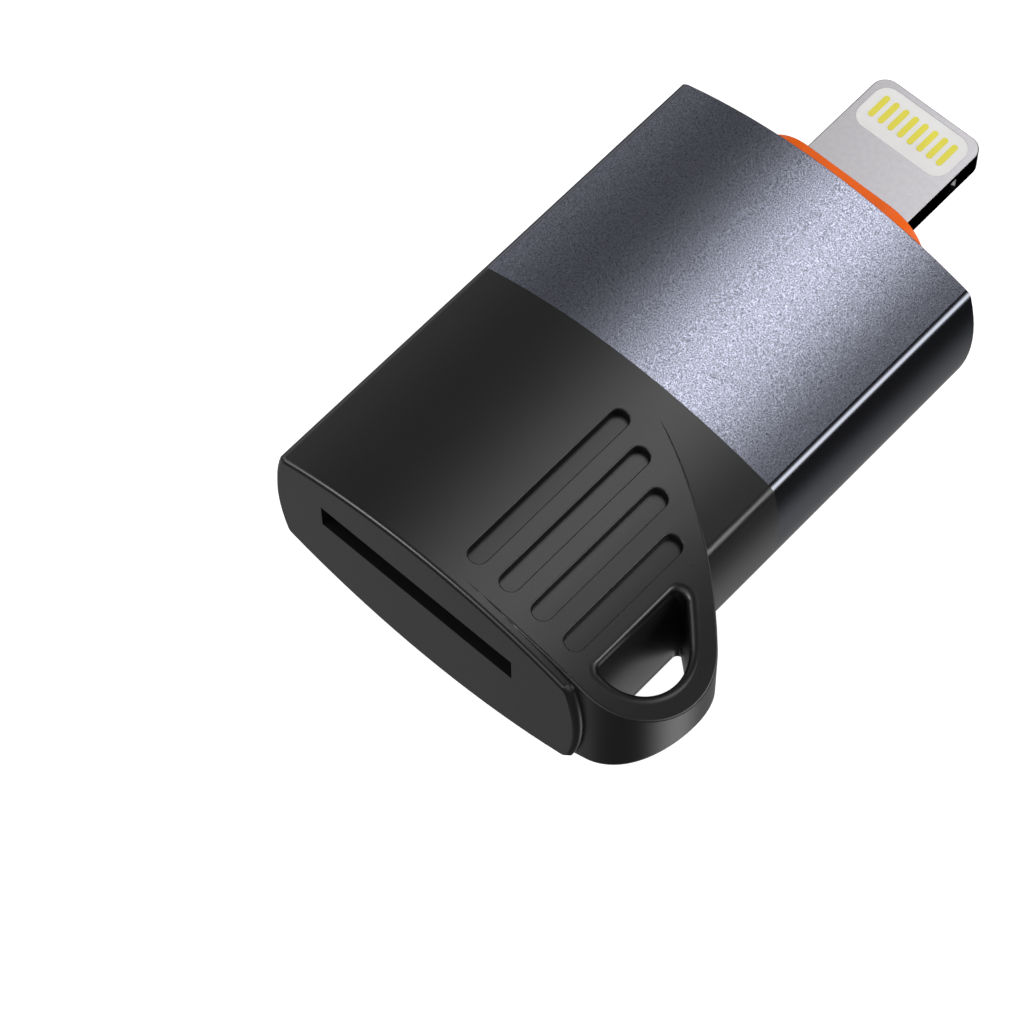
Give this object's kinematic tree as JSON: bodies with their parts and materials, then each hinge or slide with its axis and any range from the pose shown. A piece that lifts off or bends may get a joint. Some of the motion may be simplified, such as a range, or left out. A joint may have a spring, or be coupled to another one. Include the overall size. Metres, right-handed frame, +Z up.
{
  "type": "phone card reader",
  "caption": "Pocket memory card reader for a phone: black moulded rear with card slot, grip grooves and lanyard loop, grey metal sleeve, orange collar and flat plug.",
  "frame": {"origin": "under the middle of the housing's length and width, on the surface that its crowned belly rests on", "axes": "+Y the way the plug points, +X towards the lanyard loop, +Z up"},
  "size_m": [0.0236, 0.0383, 0.0105],
  "materials": {
    "black_plastic": "fine satin moulding",
    "sleeve_metal": "bead-blasted and anodised blue-grey, bright long edges",
    "orange_plastic": "smooth semi-gloss moulding",
    "plug_steel": "satin faces, polished edges",
    "white_resin": "smooth moulded resin",
    "contact_gold": "gold plating",
    "board_resin": "solder mask over glass laminate",
    "socket_plastic": "moulded high-temperature plastic",
    "socket_steel": "stamped stainless sheet",
    "chip_plastic": "moulded epoxy",
    "tinned_metal": "tin plating",
    "capacitor_body": "fired ceramic"
  },
  "bodies": {
    "root": {"rear_housing": "black_plastic", "metal_sleeve": "sleeve_metal", "front_collar": "orange_plastic", "plug_shell": "plug_steel", "plug_insert": "white_resin", "upper_plug_contacts": "contact_gold", "lower_plug_contacts": "contact_gold", "circuit_board": "board_resin", "card_socket_base": "socket_plastic", "card_socket_cover": "socket_steel", "card_socket_contacts": "contact_gold", "card_detect_spring": "contact_gold", "controller_chip": "chip_plastic", "authentication_chip": "chip_plastic", "voltage_regulator": "chip_plastic", "voltage_regulator_leads": "tinned_metal", "crystal": "tinned_metal", "capacitors": "capacitor_body", "resistors": "chip_plastic"}
  },
  "joints": []
}
